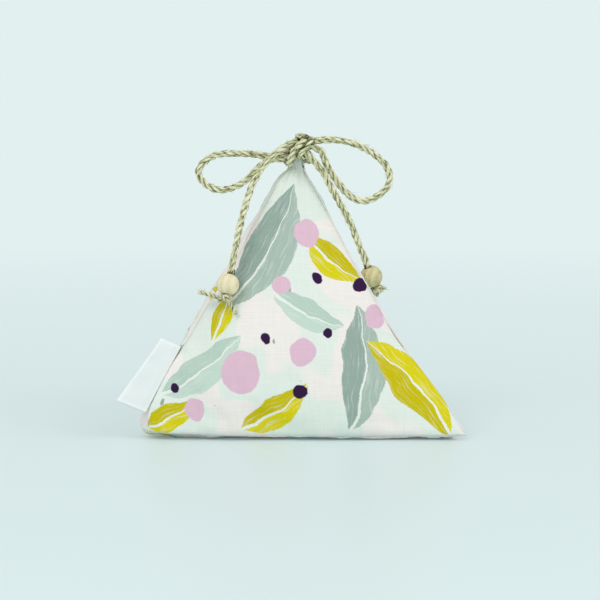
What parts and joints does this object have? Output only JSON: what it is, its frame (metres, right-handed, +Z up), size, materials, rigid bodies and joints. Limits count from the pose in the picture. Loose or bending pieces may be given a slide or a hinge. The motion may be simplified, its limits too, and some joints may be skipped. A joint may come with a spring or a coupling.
{
  "type": "lavender sachet",
  "caption": "Pyramid sachet of printed cloth panels sewn round a lavender filling, with a folded seam label and a cord bow whose tails carry wooden beads.",
  "frame": {"origin": "middle of the base, on the flat face that the sachet stands on, under the tip", "axes": "+Z up towards the tip, +X to the right seen from the front, +Y to the back; the left front seam holds the label"},
  "size_m": [0.1148, 0.0978, 0.0998],
  "materials": {
    "printed_cotton": "matte plain weave with a leaf and dot print",
    "lavender_buds": "dry loose buds",
    "sewing_thread": "matte",
    "cotton_tape": "matte woven tape",
    "hemp_cord": "rough laid fibres",
    "turned_wood": "sanded, bare"
  },
  "bodies": {
    "sachet": {"front_panel": "printed_cotton", "left_panel": "printed_cotton", "right_panel": "printed_cotton", "base_panel": "printed_cotton", "lavender_filling": "lavender_buds", "front_left_seam_thread": "sewing_thread", "front_right_seam_thread": "sewing_thread", "back_seam_thread": "sewing_thread", "base_front_seam_thread": "sewing_thread", "base_right_seam_thread": "sewing_thread", "base_left_seam_thread": "sewing_thread", "neck_turn": "hemp_cord", "bow_knot": "hemp_cord"},
    "label": {"label": "cotton_tape"},
    "left_loop": {"left_loop": "hemp_cord"},
    "right_loop": {"right_loop": "hemp_cord"},
    "left_tail": {"left_tail": "hemp_cord", "left_end_knot": "hemp_cord"},
    "right_tail": {"right_tail": "hemp_cord", "right_end_knot": "hemp_cord"},
    "left_bead": {"left_bead": "turned_wood"},
    "right_bead": {"right_bead": "turned_wood"}
  },
  "joints": [
    {"name": "label_flap", "type": "hinge", "parent": "sachet", "child": "label", "pos_m": [-0.04608, -0.02649, 0.01988], "axis": [0.4639, 0.2739, 0.8425], "range_deg": [-50, 50], "stiffness_Nm_per_rad": 0.0003},
    {"name": "left_loop_tilt", "type": "hinge", "parent": "sachet", "child": "left_loop", "pos_m": [0, -0.005, 0.0944], "axis": [0, 1, 0], "range_deg": [-15, 30], "stiffness_Nm_per_rad": 0.002},
    {"name": "right_loop_tilt", "type": "hinge", "parent": "sachet", "child": "right_loop", "pos_m": [0, -0.005, 0.0944], "axis": [0, -1, 0], "range_deg": [-15, 30], "stiffness_Nm_per_rad": 0.002},
    {"name": "left_tail_swing", "type": "hinge", "parent": "sachet", "child": "left_tail", "pos_m": [0, -0.005, 0.0944], "axis": [0, 1, 0], "range_deg": [0, 60]},
    {"name": "right_tail_swing", "type": "hinge", "parent": "sachet", "child": "right_tail", "pos_m": [0, -0.005, 0.0944], "axis": [0, -1, 0], "range_deg": [0, 60]},
    {"name": "left_bead_slide", "type": "slide", "parent": "left_tail", "child": "left_bead", "axis": [0.1926, 0.3345, 0.9225], "range_m": [0, 0.012]},
    {"name": "right_bead_slide", "type": "slide", "parent": "right_tail", "child": "right_bead", "axis": [-0.3565, -0.1468, 0.9227], "range_m": [0, 0.012]}
  ]
}
